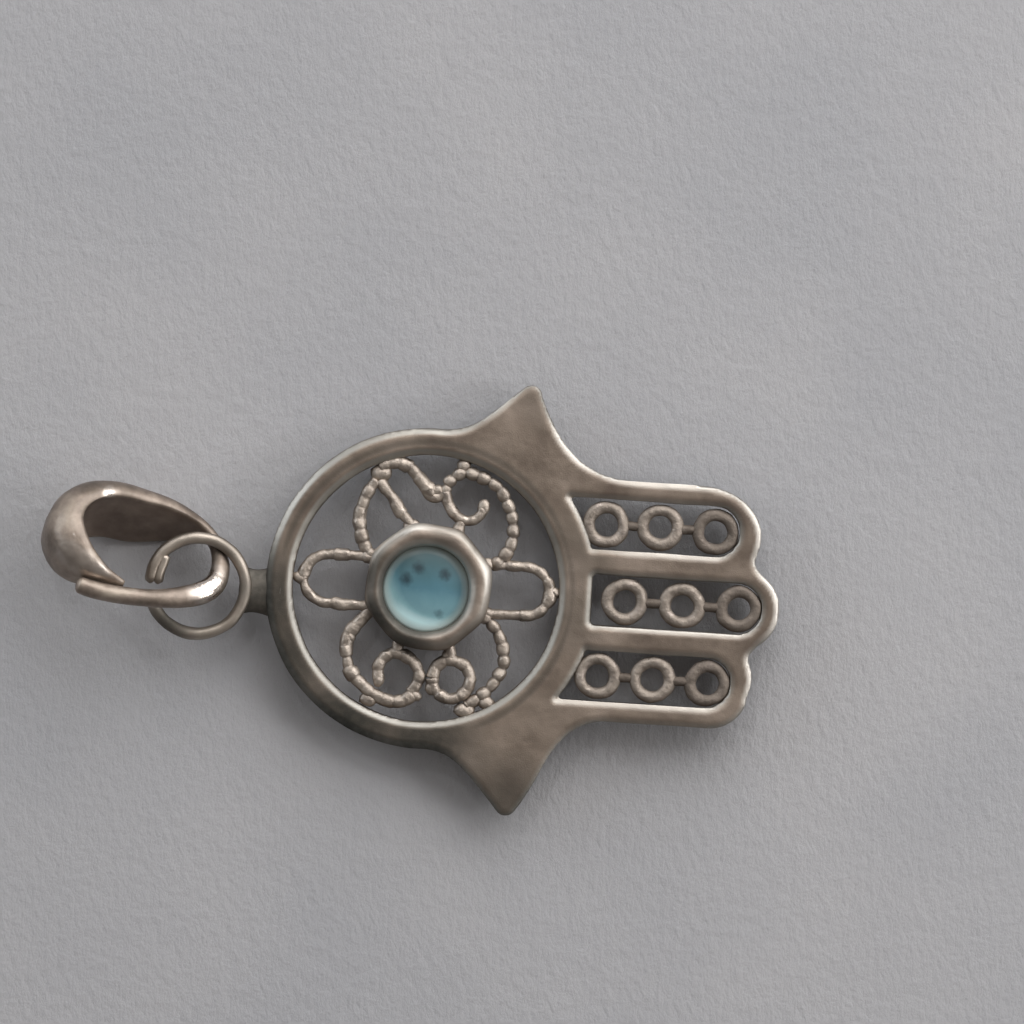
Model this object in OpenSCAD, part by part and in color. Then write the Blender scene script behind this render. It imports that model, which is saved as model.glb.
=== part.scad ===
// Filigree hand pendant with a round cabochon, lying on its back with its bail tipped to one side.
// The origin is the middle of the setting's flat back. +X points to the fingertips, +Z is up.

/* [Frame] */
// Thickness of the cast frame
frame_thick = 1.2; // [1:0.05:1.5]
// Height of the frame's back above the surface it lies on
frame_lift = 0.85; // [0.8:0.05:0.95]
// Outer radius of the palm ring
palm_r = 7.3; // [7.2:0.05:7.4]
// Radius of the palm opening
palm_hole_r = 6.05; // [6:0.05:6.1]
// Width of the bevel round the palm opening
palm_bevel = 0.35; // [0.2:0.05:0.5]
// Radius of the round thumb tips
thumb_tip_r = 0.5; // [0.4:0.05:0.6]

/* [Fingers] */
// Distance between the middle lines of the fingers
finger_pitch = 3.45; // [3.4:0.05:3.5]
// Half the width of the fingers together
fingers_half_w = 5.5; // [5.4:0.05:5.6]
// X of the ends of the two outer fingers
finger_end_x = 14.95; // [14.8:0.05:15.1]
// X of the middle fingertip
fingertip_x = 16.1; // [16:0.05:16.3]
// Width of a finger slot
slot_w = 2.3; // [2.2:0.05:2.35]
// Middle radius of the small wire rings in the slots
mini_ring_r = 0.92; // [0.9:0.01:0.95]
// Wire radius of the small rings
mini_wire_r = 0.27; // [0.25:0.01:0.3]

/* [Filigree] */
// Radius of the filigree wire
wire_r = 0.23; // [0.2:0.01:0.25]
// Middle radius of the four scroll arcs
scroll_r = 2.05; // [2:0.01:2.1]
// Radius of the beads on the curls
bead_r = 0.34; // [0.3:0.01:0.4]

/* [Setting and stone] */
// Distance from the middle to a flat side of the collar
collar_flat = 2.74; // [2.7:0.01:2.8]
// Radius that rounds off the collar's corners
collar_r = 2.88; // [2.86:0.01:2.95]
// Height of the setting
collar_h = 2.7; // [2.6:0.05:2.8]
// Radius of the stone
stone_r = 2; // [1.95:0.01:2.02]
// Height of the stone's dome
dome_h = 0.75; // [0.6:0.05:0.8]

/* [Loop ring and bail] */
// Middle radius of the loop ring
loop_r = 2.18; // [2.15:0.01:2.2]
// Wire radius of the loop ring
loop_wire_r = 0.27; // [0.25:0.01:0.28]
// How far the bail leans over to its side, in degrees
bail_lean = 35.8; // [35:0.1:36.5]
// How far the bail's wide end stands up, in degrees
bail_rise = 13.3; // [13:0.1:13.6]

/* [Hidden] */
$fn = 48;
silver = "#8d847b";
deck_z = frame_lift + frame_thick;
cut = 0.5;

upper_thumb_tip = [4.22, 9.05];
lower_thumb_tip = [4.25, -9.6];
// Ends and handles of the flanks of the thumbs, from the palm ring to the tip and down to the fingers
upper_thumb_in = [[0.3, 7.2], [1.9, 7.3], [2.4, 8.2], upper_thumb_tip + thumb_tip_r * [-0.7, 0.7]];
upper_thumb_out = [upper_thumb_tip + thumb_tip_r * [0.97, 0.1], [5.3, 7.5], [6.35, 5.7], [8.6, 5.4]];
lower_thumb_in = [[0.2, -7.2], [1.7, -7.25], [2.4, -8.2], lower_thumb_tip + thumb_tip_r * [-0.8, -0.6]];
lower_thumb_out = [lower_thumb_tip + thumb_tip_r * [0.85, -0.5], [5.9, -8.2], [6.2, -5.7], [8.4, -5.45]];

// Outline of the neck between the palm ring and the loop ring
NECK = [[-6.9, 1.1], [-7.6, 0.35], [-8.35, 0.3], [-8.35, -1.5], [-7.6, -1.6], [-6.7, -2.4]];

// X inside the palm ring where the fingers start, and the step that the outer fingers' ends stand back
hand_x = 3;
end_step = 0.05;
thumb_root_y = 4.95;
finger_corner_r = 1.75;
middle_tip_r = 1.9;
slot_start_r = 7.75;
outer_slot_x = 5.5;
middle_slot_x = 7.55;
outer_slot_end_x = 14.1;
middle_slot_end_x = 15.3;
mini_ring_z = frame_lift + 0.85;
outer_mini_x = [8.05, 10.55, 13.05];
middle_mini_x = [8.95, 11.6, 14.2];
web_r = 0.17;

wire_z = frame_lift + 0.75;
// Scroll arcs: middle x, middle y, first angle, last angle
SCROLLS = [
    [-1.3, 3.15, 50, 237],
    [1.75, 3.1, -53, 130],
    [-1.3, -3.1, 120, 292],
    [1.7, -3.1, -75, 66]
];
// Curls inside the scrolls: middle x, middle y, radius, first angle, last angle
CURLS = [
    [1.5, 4.05, 0.88, 150, 345],
    [-1, -4, 0.88, -60, 200],
    [1.4, -4.02, 0.86, 0, 360]
];
// Straight wires between x, y and x, y
STRUTS = [
    [-2.45, 4.75, -0.9, 2.5],
    [1.3, 2.2, 1.5, 3.2],
    [-1.1, -2.3, -1.15, -3.15],
    [1.25, -2.2, 1.35, -3.2]
];
// Beads on the free ends of the curls at x, y
BEADS = [[2.35, 3.82], [-1.83, -4.3]];
// Depth of the solder joints in the wall of the palm ring, and their radius
joint_depth = 0.3;
joint_r = wire_r * 1.3;
petal_half_w = 1.1;
petal_y = 0.2;
left_petal_x = -4.7;
right_petal_x = 4.75;
petal_root_x = 2.3;

floor_h = 1.25;
stone_gap = 0.04;
stone_z = floor_h + stone_gap;
girdle_h = 0.62;
lip_z = stone_z + girdle_h + 0.12;
lip_edge = 0.1;
lip_r = stone_r - 0.08;
ridge_r = collar_flat - 0.26;
// Turn of the collar's eight sides, and the bevel round its top edge
collar_turn = 18;
collar_bevel = 0.35;
crown_r = (stone_r * stone_r + dome_h * dome_h) / (2 * dome_h);

loop_at = [-10.37, -0.56, frame_lift + 1.07];
// Angles between which the loop ring is open, and those of its second end inside
loop_cut = [176, 186];
tail_angles = [150, 196];
tail_r = loop_r - 0.46;
tail_wire_r = loop_wire_r * 0.9;

tip_at = [-9.6, -0.4, 2.41];
// Bail from its pointed end round the wide bend to the thin end:
// along, across, half width, crown, wall, squareness
BAIL_ROWS = [
    [4.2, -1.05, 0.13, 0.00, 0.2, 1],
    [5.0, -0.86, 0.62, 0.15, 0.4, 0.8],
    [5.85, -0.5, 1.15, 0.48, 0.55, 0.6],
    [6.5, 0.05, 1.5, 0.75, 0.64, 0.55],
    [6.88, 0.95, 1.66, 0.92, 0.66, 0.5],
    [6.65, 1.9, 1.7, 0.92, 0.66, 0.5],
    [5.95, 2.52, 1.74, 0.82, 0.66, 0.5],
    [5.0, 2.8, 1.76, 0.68, 0.66, 0.5],
    [3.9, 2.76, 1.74, 0.55, 0.66, 0.5],
    [2.75, 2.82, 1.48, 0.4, 0.62, 0.55],
    [1.75, 2.86, 1.08, 0.24, 0.6, 0.65],
    [0.85, 2.74, 0.6, 0.08, 0.6, 0.85],
    [0.15, 2.22, 0.38, 0, 0.62, 1],
    [-0.18, 1.15, 0.36, 0, 0.72, 1],
    [-0.02, 0.1, 0.39, 0, 0.78, 1],
    [0.5, -0.55, 0.4, 0, 0.8, 1],
    [1.4, -1.02, 0.39, 0, 0.78, 1],
    [2.4, -1.36, 0.38, 0, 0.76, 1],
    [3.2, -1.55, 0.37, 0, 0.74, 1]
];
// The lapped end that lies along the outside of the band
LAP_ROWS = [
    [2.9, -1.49, 0.4, 0, 0.8, 1],
    [3.7, -1.63, 0.4, 0, 0.8, 1],
    [4.6, -1.7, 0.4, 0, 0.8, 1],
    [5.5, -1.68, 0.4, 0, 0.8, 1],
    [6.05, -1.6, 0.39, 0, 0.78, 1],
    [6.3, -1.54, 0.22, 0, 0.44, 1]
];
bail_sides = 16;
bail_steps = 3;

function mix3(a, b, c, d, t) =
    a * pow(1 - t, 3) + 3 * b * t * pow(1 - t, 2) + 3 * c * t * t * (1 - t) + d * pow(t, 3);

function bezier(p, steps = 12) = [for (i = [0 : steps]) mix3(p[0], p[1], p[2], p[3], i / steps)];

// A smooth curve through the rows of a table, steps points to each row
function through(a, b, c, d, t) =
    0.5 * (2 * b + (c - a) * t + (2 * a - 5 * b + 4 * c - d) * t * t + (3 * b - a - 3 * c + d) * t * t * t);

function smooth_rows(rows, steps) =
    let (last = len(rows) - 1)
    [for (k = [0 : last * steps])
        let (i = min(floor(k / steps), last - 1), t = k / steps - i)
        through(rows[max(i - 1, 0)], rows[i], rows[i + 1], rows[min(i + 2, last)], t)];

function power(x, e) = sign(x) * pow(abs(x), e);

// One cross-section of the bail: a domed band that turns into round wire where the crown is 0
function section(row, side, sides) =
    let (a = 360 * side / sides, e = row[5], s = power(sin(a), e))
    [row[2] * power(cos(a), e), s * row[4] / 2 + row[3] * pow(sin(a), 2) * (s > 0 ? 1 : 0.55)];

function sweep_points(rows, sides) =
    let (n = len(rows))
    [for (i = [0 : n - 1])
        let (ahead = rows[min(i + 1, n - 1)] - rows[max(i - 1, 0)],
             run = norm([ahead[0], ahead[1]]),
             out = [ahead[1], -ahead[0]] / run)
        for (s = [0 : sides - 1])
            let (q = section(rows[i], s, sides))
            [-rows[i][0] - q[1] * out[0], rows[i][1] + q[1] * out[1], q[0]]];

function sweep_faces(n, sides) = concat(
    [[for (s = [0 : sides - 1]) s]],
    [for (i = [0 : n - 2]) for (s = [0 : sides - 1])
        let (a = i * sides + s, b = i * sides + (s + 1) % sides)
        each [[a, a + sides, b], [b, a + sides, b + sides]]],
    [[for (s = [sides - 1 : -1 : 0]) (n - 1) * sides + s]]
);

module sweep(rows) {
    path = smooth_rows(rows, bail_steps);
    polyhedron(sweep_points(path, bail_sides), sweep_faces(len(path), bail_sides));
}

module wire_arc(x, y, r, first, last, z, thick) {
    translate([x, y, z]) rotate([0, 0, first])
        rotate_extrude(angle = last - first) translate([r, 0]) circle(r = thick);
}

module wire_line(x1, y1, x2, y2, z, thick) {
    translate([x1, y1, z]) rotate([0, 90, atan2(y2 - y1, x2 - x1)])
        cylinder(r = thick, h = norm([x2 - x1, y2 - y1]));
}

module thumb_outline(inner, tip, outer, side) {
    round = concat([[1, thumb_root_y * side]], bezier(inner), bezier(outer), [[8.4, thumb_root_y * side]]);
    polygon(side < 0 ? round : [for (i = [len(round) - 1 : -1 : 0]) round[i]]);
    translate(tip) circle(r = thumb_tip_r);
}

module finger_outline() {
    corner_y = fingers_half_w - finger_corner_r;
    corner_x = finger_end_x - finger_corner_r;
    translate([hand_x, -fingers_half_w]) square([corner_x - hand_x, 2 * fingers_half_w]);
    translate([hand_x, -corner_y]) square([finger_end_x - end_step - hand_x, 2 * corner_y]);
    for (side = [-1, 1])
        translate([corner_x, side * corner_y]) circle(r = finger_corner_r);
    translate([fingertip_x - middle_tip_r, 0]) circle(r = middle_tip_r);
}

module slot_outline(y, x_start, x_end) {
    difference() {
        union() {
            translate([x_start, y - slot_w / 2]) square([x_end - slot_w / 2 - x_start, slot_w]);
            translate([x_end - slot_w / 2, y]) circle(r = slot_w / 2);
        }
        if (y != 0) circle(r = slot_start_r);
    }
}

module frame_outline() {
    difference() {
        union() {
            circle(r = palm_r);
            finger_outline();
            thumb_outline(upper_thumb_in, upper_thumb_tip, upper_thumb_out, 1);
            thumb_outline(lower_thumb_in, lower_thumb_tip, lower_thumb_out, -1);
            polygon(NECK);
        }
        circle(r = palm_hole_r);
        slot_outline(finger_pitch, outer_slot_x, outer_slot_end_x);
        slot_outline(0, middle_slot_x, middle_slot_end_x);
        slot_outline(-finger_pitch, outer_slot_x, outer_slot_end_x);
    }
}

module frame() {
    difference() {
        translate([0, 0, frame_lift]) linear_extrude(frame_thick) frame_outline();
        translate([0, 0, deck_z - palm_bevel])
            cylinder(r1 = palm_hole_r, r2 = palm_hole_r + palm_bevel + cut, h = palm_bevel + cut);
    }
}

module mini_row(y, places) {
    for (x = places)
        wire_arc(x, y, mini_ring_r, 0, 360, mini_ring_z, mini_wire_r);
    for (i = [0 : len(places) - 2])
        wire_line(places[i] + mini_ring_r, y, places[i + 1] - mini_ring_r, y, mini_ring_z, web_r);
}

module petal(x, side) {
    for (edge = [-1, 1])
        wire_line(side * petal_root_x, petal_y + edge * petal_half_w,
                  x, petal_y + edge * petal_half_w, wire_z, wire_r);
    wire_arc(x, petal_y, petal_half_w, side > 0 ? -90 : 90, side > 0 ? 90 : 270, wire_z, wire_r);
    wire_line(x + side * petal_half_w, petal_y, side * (palm_hole_r + joint_depth), petal_y,
              wire_z, joint_r);
}

module scrolls() {
    for (s = SCROLLS) {
        wire_arc(s[0], s[1], scroll_r, s[2], s[3], wire_z, wire_r);
        reach = norm([s[0], s[1]]);
        inner = [s[0], s[1]] * (1 + scroll_r / reach);
        outer = [s[0], s[1]] * (palm_hole_r + joint_depth) / reach;
        wire_line(inner[0], inner[1], outer[0], outer[1], wire_z, joint_r);
    }
    for (c = CURLS)
        wire_arc(c[0], c[1], c[2], c[3], c[4], wire_z, wire_r);
    for (s = STRUTS)
        wire_line(s[0], s[1], s[2], s[3], wire_z, wire_r);
    for (b = BEADS)
        translate([b[0], b[1], wire_z]) sphere(r = bead_r);
}

module setting() {
    slope = (ridge_r - lip_r) / (collar_h - lip_z);
    difference() {
        intersection() {
            linear_extrude(collar_h) rotate(collar_turn) circle(r = collar_flat / cos(180 / 8), $fn = 8);
            cylinder(r = collar_r, h = collar_h);
            cylinder(r1 = collar_r - collar_bevel + collar_h, r2 = collar_r - collar_bevel, h = collar_h);
        }
        translate([0, 0, floor_h]) cylinder(r = stone_r + stone_gap, h = lip_z - floor_h);
        translate([0, 0, lip_z - lip_edge])
            cylinder(r1 = lip_r - slope * lip_edge, r2 = ridge_r + slope * cut,
                     h = collar_h - lip_z + lip_edge + cut);
    }
}

module loop_ring() {
    wire_arc(loop_at[0], loop_at[1], loop_r, loop_cut[1] - 360, loop_cut[0], loop_at[2], loop_wire_r);
    wire_arc(loop_at[0], loop_at[1], tail_r, tail_angles[0], tail_angles[1], loop_at[2], tail_wire_r);
}

module hand() {
    color(silver) union() {
        frame();
        setting();
        petal(left_petal_x, -1);
        petal(right_petal_x, 1);
        scrolls();
        mini_row(finger_pitch, outer_mini_x);
        mini_row(0, middle_mini_x);
        mini_row(-finger_pitch, outer_mini_x);
        loop_ring();
    }
}

module stone() {
    color("#5f97a3") {
        translate([0, 0, stone_z]) cylinder(r = stone_r, h = girdle_h);
        translate([0, 0, stone_z + girdle_h]) intersection() {
            translate([0, 0, dome_h - crown_r]) sphere(r = crown_r);
            cylinder(r = stone_r, h = dome_h + cut);
        }
    }
}

module bail() {
    color(silver)
        translate(tip_at) rotate([-bail_lean, 0, 0]) rotate([0, bail_rise, 0]) {
            sweep(BAIL_ROWS);
            sweep(LAP_ROWS);
        }
}

hand();
stone();
bail();
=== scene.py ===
# Cast silver hand pendant with filigree and a blue cabochon, lying on paper with its bail tipped over
import math
import bmesh
import bpy
from mathutils import Euler, Matrix, Vector, kdtree, noise


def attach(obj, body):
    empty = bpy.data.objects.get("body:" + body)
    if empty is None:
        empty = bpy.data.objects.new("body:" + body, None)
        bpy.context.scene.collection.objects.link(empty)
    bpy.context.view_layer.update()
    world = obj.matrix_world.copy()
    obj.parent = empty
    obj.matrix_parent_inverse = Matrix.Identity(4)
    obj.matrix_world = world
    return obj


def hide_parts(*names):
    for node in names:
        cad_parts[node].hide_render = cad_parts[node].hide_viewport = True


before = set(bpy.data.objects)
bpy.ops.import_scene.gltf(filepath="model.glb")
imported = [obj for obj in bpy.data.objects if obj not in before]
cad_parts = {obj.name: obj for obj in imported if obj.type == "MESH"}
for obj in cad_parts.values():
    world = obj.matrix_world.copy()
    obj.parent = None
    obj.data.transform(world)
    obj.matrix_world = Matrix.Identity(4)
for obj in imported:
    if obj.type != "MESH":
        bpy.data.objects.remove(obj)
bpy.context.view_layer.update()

mm = 0.001
print("frame loaded:", ", ".join(sorted(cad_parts)))

# Shared measures of the pendant, in millimetres above the paper
levels = {
    "frameBack": 0.85,
    "deck": 2.05,
    "wire": 1.6,  # middle of the filigree wires
    "miniRing": 1.7,
    "loopRing": 1.92,
}


def vec(x, y, z=0.0):
    return Vector((x, y, z))


def clamp(value):
    return max(0, min(1, value))


def nearness(at, x, y, reach):  # 1 on the spot x, y, and 0 from its reach outwards
    return max(0, 1 - ((at.x - x) ** 2 + (at.y - y) ** 2) / reach ** 2)


def through(a, b, c, d, t):  # Catmull-Rom between b and c, for points and for table rows alike
    return [0.5 * (2 * q + (r - p) * t + (2 * p - 5 * q + 4 * r - s) * t * t
                   + (3 * q - p - 3 * r + s) * t ** 3) for p, q, r, s in zip(a, b, c, d)]


def smoothRows(rows, steps):  # a smooth run through the rows, with this many steps between two of them
    last = len(rows) - 1
    found = []
    for k in range(last * steps + 1):
        i = min(k // steps, last - 1)
        before, after = rows[max(i - 1, 0)], rows[min(i + 2, last)]
        found.append(through(before, rows[i], rows[i + 1], after, k / steps - i))
    return found


def evenly(points, step):  # the same line with points a step apart
    found, spare = [points[0].copy()], 0.0
    for a, b in zip(points, points[1:]):
        run = (b - a).length
        at = step - spare
        while at <= run:
            found.append(a.lerp(b, at / run))
            at += step
        spare = run - (at - step)
    if (points[-1] - found[-1]).length > step * 0.4:
        found.append(points[-1].copy())
    return found


def arcPoints(center, radius, first, last, step=5.0):  # angles in degrees
    count = max(2, round(abs(last - first) / step))
    angles = [math.radians(first + (last - first) * i / count) for i in range(count + 1)]
    return [vec(center[0] + radius * math.cos(a), center[1] + radius * math.sin(a)) for a in angles]


def bezierPoints(a, b, c, d, count=14):
    found = []
    for i in range(count + 1):
        t = i / count
        weights = ((1 - t) ** 3, 3 * t * (1 - t) ** 2, 3 * t * t * (1 - t), t ** 3)
        found.append(vec(*(sum(w * p[k] for w, p in zip(weights, (a, b, c, d))) for k in (0, 1))))
    return found


# Helpers that make and finish a piece

def addObject(name, data):
    made = bpy.data.objects.new(name, data)
    bpy.context.scene.collection.objects.link(made)
    return made


def finishPiece(bm, name, material, replaces="hand"):
    bmesh.ops.recalc_face_normals(bm, faces=bm.faces)
    mesh = bpy.data.meshes.new(name)
    bm.to_mesh(mesh)
    bm.free()
    mesh.transform(Matrix.Scale(mm, 4))  # the pieces are modelled in millimetres
    mesh.materials.append(material)
    for face in mesh.polygons:
        face.use_smooth = True
    piece = addObject(name, mesh)
    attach(piece, "root")
    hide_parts(replaces)
    print("made", name, len(mesh.polygons), "faces")


def roughen(verts, uneven):  # the soft unevenness of cast and hand-finished silver: size, depth and seed
    size, depth, seed = uneven
    for vert in verts:
        at = vert.co / size + vec(seed, seed * 1.7, seed * 0.6)
        vert.co += vert.normal * depth * noise.noise(at)


def lathe(bm, profile, steps, center=(0, 0)):  # profile rows: radius, height
    rail = [bm.verts.new((r + center[0], center[1], z)) for r, z in profile]
    edges = [bm.edges.new(pair) for pair in zip(rail, rail[1:])]
    bmesh.ops.spin(bm, geom=rail + edges, cent=(center[0], center[1], 0), axis=(0, 0, 1), dvec=(0, 0, 0),
                   angle=2 * math.pi, steps=steps, use_merge=True, use_duplicate=False)
    bmesh.ops.remove_doubles(bm, verts=bm.verts, dist=1e-5)


def sweep(bm, stations, sides):
    # stations: middle, side direction, up direction and a function that gives the section at an angle
    layer = bm.verts.layers.float.get("patina") or bm.verts.layers.float.new("patina")
    ring = bmesh.ops.create_circle(bm, cap_ends=False, radius=1, segments=sides)["verts"]
    edges = [e for e in bm.edges if e.verts[0] in set(ring) and e.verts[1] in set(ring)]
    angles = [2 * math.pi * i / sides for i in range(sides)]
    order = {v: i for i, v in enumerate(ring)}
    ends = []
    for count, (middle, side, up, section, dark) in enumerate(stations):
        if count:
            grown = bmesh.ops.extrude_edge_only(bm, edges=edges)["geom"]
            fresh = [g for g in grown if isinstance(g, bmesh.types.BMVert)]
            edges = [g for g in grown if isinstance(g, bmesh.types.BMEdge)]
            old = {}
            for vert in fresh:
                for edge in vert.link_edges:
                    other = edge.other_vert(vert)
                    if other in order:
                        old[vert] = order[other]
            order = old
        for vert, i in order.items():
            across, high = section(angles[i])
            vert.co = middle + side * across + up * high
            vert[layer] = dark(angles[i])
        if count in (0, len(stations) - 1):
            ends.append(list(edges))
    for rim in ends:
        bmesh.ops.contextual_create(bm, geom=rim)


beadRound = 0.65  # below 1 the beads are fat and their valleys narrow
valleyFade, valleyDark = 1.5, 2.2  # how steeply the valleys darken, and how much
flareFade = 2.5  # how soon a flared end comes down to the wire
undersideShade = 0.6  # painted shade: how dark a wire is below
lumpy = 0.16  # how uneven a solder lump is, as a share of its size


def wire(bm, points, radius, bead=None, sides=12, flat=1.0, taper=(0, 0), dark=0.0, step=None, flare=(0, 0)):
    # a round wire along points; bead gives pitch, depth of the valleys and a share by which beads differ
    step = bead["pitch"] / 9 if bead else step or radius * 0.5
    line = evenly(points, step)
    stations = []
    total = step * (len(line) - 1)
    for i, at in enumerate(line):
        ahead = (line[min(i + 1, len(line) - 1)] - line[max(i - 1, 0)]).normalized()
        side = vec(ahead.y, -ahead.x).normalized()
        up = side.cross(ahead)
        run = i * step
        r, valley = radius, 0.0
        if bead:
            wave = abs(math.sin(math.pi * run / bead["pitch"])) ** beadRound
            which = math.floor(run / bead["pitch"])
            jitter = 1 + bead["differ"] * noise.noise(vec(which * 1.37, line[0].x * 9, 4.2))
            r = radius * (1 - bead["depth"] * (1 - wave)) * jitter
            valley = min(1, (1 - wave) ** valleyFade * bead["depth"] * valleyDark)
        r += flare[0] * (1 - run / total) ** flareFade + flare[1] * (run / total) ** flareFade
        for end, distance in ((taper[0], run), (taper[1], total - run)):
            if end and distance < end:
                r *= math.sqrt(max(0.02, 1 - (1 - distance / end) ** 2))
        # the layer holds the valleys' tarnish, the wire's own darkness and painted shade underneath
        stations.append((at, side, up,
                         lambda a, r=r: (r * math.cos(a), r * flat * math.sin(a)),
                         lambda a, v=valley: max(v, dark, undersideShade * (math.sin(a) < -0.3))))
    sweep(bm, stations, sides)


def blob(bm, at, size, seed):  # a lump of solder
    made = bmesh.ops.create_icosphere(bm, subdivisions=2, radius=1)["verts"]
    for vert in made:
        vert.co *= 1 + lumpy * noise.noise(vert.co * 1.3 + vec(seed, 0, seed))
        vert.co = vec(*at) + Vector(c * s for c, s in zip(vert.co, size))


# Materials

def linear(hexCode):  # sRGB hex to the linear colour that a shader takes
    parts = [int(hexCode[i:i + 2], 16) / 255 for i in (1, 3, 5)]
    return tuple(p / 12.92 if p <= 0.04045 else ((p + 0.055) / 1.055) ** 2.4 for p in parts) + (1.0,)


def addNode(tree, kind, settings=(), links=()):
    node = tree.nodes.new("ShaderNode" + kind)
    for key, value in dict(settings).items():
        if key == "stops":  # of a colour ramp
            elements = node.color_ramp.elements
            while len(elements) < len(value):
                elements.new(0.5)
            for element, (position, color) in zip(elements, value):
                element.position = position
                element.color = linear(color)
        elif isinstance(key, int) or key in node.inputs:
            node.inputs[key].default_value = value
        else:
            setattr(node, key, value)
    for key, socket in dict(links).items():
        tree.links.new(socket, node.inputs[key])
    return node


def startMaterial(name):
    material = bpy.data.materials.new(name)
    material.use_nodes = True
    tree = material.node_tree
    tree.nodes.clear()
    shader = addNode(tree, "BsdfPrincipled")
    addNode(tree, "OutputMaterial", {}, {"Surface": shader.outputs["BSDF"]})
    coords = addNode(tree, "TexCoord")
    return material, tree, shader, coords


def silver(name, look):
    material, tree, shader, coords = startMaterial(name)
    place = coords.outputs["Object"]
    cloud = addNode(tree, "TexNoise", {"Scale": 1 / (look["cloud"] * mm), "Detail": 5, "Roughness": 0.6},
                    {"Vector": place})
    tone = addNode(tree, "ValToRGB",
                   {"stops": [(0.32, look["dark"]), (0.5, look["mid"]), (0.68, look["light"])]},
                   {"Fac": cloud.outputs["Fac"]})
    # edges that rub on skin and cloth stay bright, and they are where the surface turns away from flat
    apart = addNode(tree, "SeparateXYZ", {}, {0: coords.outputs["Normal"]})
    upward = addNode(tree, "Math", {"operation": "ABSOLUTE"}, {0: apart.outputs["Z"]})
    rubbed = addNode(tree, "MapRange", {"From Min": 0.985, "From Max": 0.87, "To Max": look["rub"]},
                     {"Value": upward.outputs[0]})  # 1 is flat, and less is turned away
    steep = addNode(tree, "MapRange", {"From Min": 0.12, "From Max": 0.45}, {"Value": upward.outputs[0]})
    edge = addNode(tree, "Math", {"operation": "MULTIPLY"},
                   {0: rubbed.outputs["Result"], 1: steep.outputs["Result"]})
    bright = addNode(tree, "Mix", {"data_type": "RGBA", 7: linear(look["rubbed"])},
                     {"Factor": edge.outputs[0], 6: tone.outputs["Color"]})
    # tarnish gathers low down and in the valleys between beads, and the pieces' own layer adds painted shade
    heights = addNode(tree, "SeparateXYZ", {}, {0: place})
    low = addNode(tree, "MapRange",
                  {"From Min": look["tarnishTop"] * mm, "From Max": look["tarnishFoot"] * mm,
                   "To Max": look["tarnish"]}, {"Value": heights.outputs["Z"]})
    valley = addNode(tree, "Attribute", {"attribute_name": "patina"})
    side = addNode(tree, "MapRange", {"From Min": 0.5, "From Max": 0.12, "To Max": look["wall"]},
                   {"Value": upward.outputs[0]})  # walls are never rubbed clean and keep a brown film
    filmed = addNode(tree, "Mix", {"data_type": "RGBA", 7: linear(look["film"])},
                     {"Factor": side.outputs["Result"], 6: bright.outputs[2]})
    tarnishWithShade = addNode(tree, "Math", {"operation": "MAXIMUM"},
                   {0: low.outputs["Result"], 1: valley.outputs["Fac"]})
    speckle = addNode(tree, "TexNoise", {"Scale": 1 / (look["speckle"] * mm), "Detail": 3},
                      {"Vector": place})
    patchy = addNode(tree, "MapRange", {"From Min": 0.35, "From Max": 0.6, "To Min": look["even"]},
                     {"Value": speckle.outputs["Fac"]})
    cover = addNode(tree, "Math", {"operation": "MULTIPLY", "use_clamp": True},
                    {0: tarnishWithShade.outputs[0], 1: patchy.outputs["Result"]})
    color = addNode(tree, "Mix", {"data_type": "RGBA", 7: linear(look["patina"])},
                    {"Factor": cover.outputs[0], 6: filmed.outputs[2]})
    # where the pieces' layer is below 0 a painted highlight in the bare colour is laid on, and the metal is
    # made smoother as far as its wear goes
    wearAndHighlight = addNode(tree, "Math", {"operation": "MINIMUM", 1: 0.0}, {0: valley.outputs["Fac"]})
    fresh = addNode(tree, "Math", {"operation": "ABSOLUTE"}, {0: wearAndHighlight.outputs[0]})
    color = addNode(tree, "Mix", {"data_type": "RGBA", 7: linear(look["bareHighlight"])},
                    {"Factor": fresh.outputs[0], 6: color.outputs[2]})
    rough = addNode(tree, "MapRange", {"From Min": 0.3, "From Max": 0.7, "To Min": look["rough"][0],
                                                 "To Max": look["rough"][1]}, {"Value": cloud.outputs["Fac"]})
    # tarnish is rough, rubbed edges are smoother, and a few specks glint
    rougher = addNode(tree, "Math",
                      {"operation": "MULTIPLY_ADD", 1: look["tarnishRough"], "use_clamp": True},
                      {0: cover.outputs[0], 2: rough.outputs["Result"]})
    smoother = addNode(tree, "Math", {"operation": "MULTIPLY_ADD", 1: -look["rubSmooth"]},
                       {0: edge.outputs[0], 2: rougher.outputs[0]})
    glint = addNode(tree, "MapRange", {"From Min": 0.56, "From Max": 0.7, "To Max": -look["glint"]},
                    {"Value": speckle.outputs["Fac"]})
    glinting = addNode(tree, "Math", {}, {0: smoother.outputs[0], 1: glint.outputs["Result"]})
    polished = addNode(tree, "Math", {"operation": "MULTIPLY_ADD", 1: look["wear"], "use_clamp": True},
                       {0: wearAndHighlight.outputs[0], 2: glinting.outputs[0]})
    grain = addNode(tree, "TexNoise", {"Scale": 1 / (look["grain"] * mm), "Detail": 2}, {"Vector": place})
    waves = addNode(tree, "TexNoise", {"Scale": 1 / (look["wave"] * mm), "Detail": 2}, {"Vector": place})
    fine = addNode(tree, "Bump", {"Strength": look["grainDepth"], "Distance": look["grainHigh"] * mm},
                   {"Height": grain.outputs["Fac"]})
    soft = addNode(tree, "Bump", {"Strength": look["waveDepth"], "Distance": look["waveHigh"] * mm},
                   {"Height": waves.outputs["Fac"], "Normal": fine.outputs["Normal"]})
    for socket, source in (("Base Color", color.outputs[2]), ("Roughness", polished.outputs[0]),
                           ("Normal", soft.outputs["Normal"])):
        tree.links.new(source, shader.inputs[socket])
    shader.inputs["Metallic"].default_value = 1.0
    shader.inputs["Coat Weight"].default_value = look["coat"]  # a trace of polish that catches the small lamp
    shader.inputs["Coat Roughness"].default_value = look["coatRough"]
    return material


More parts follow.
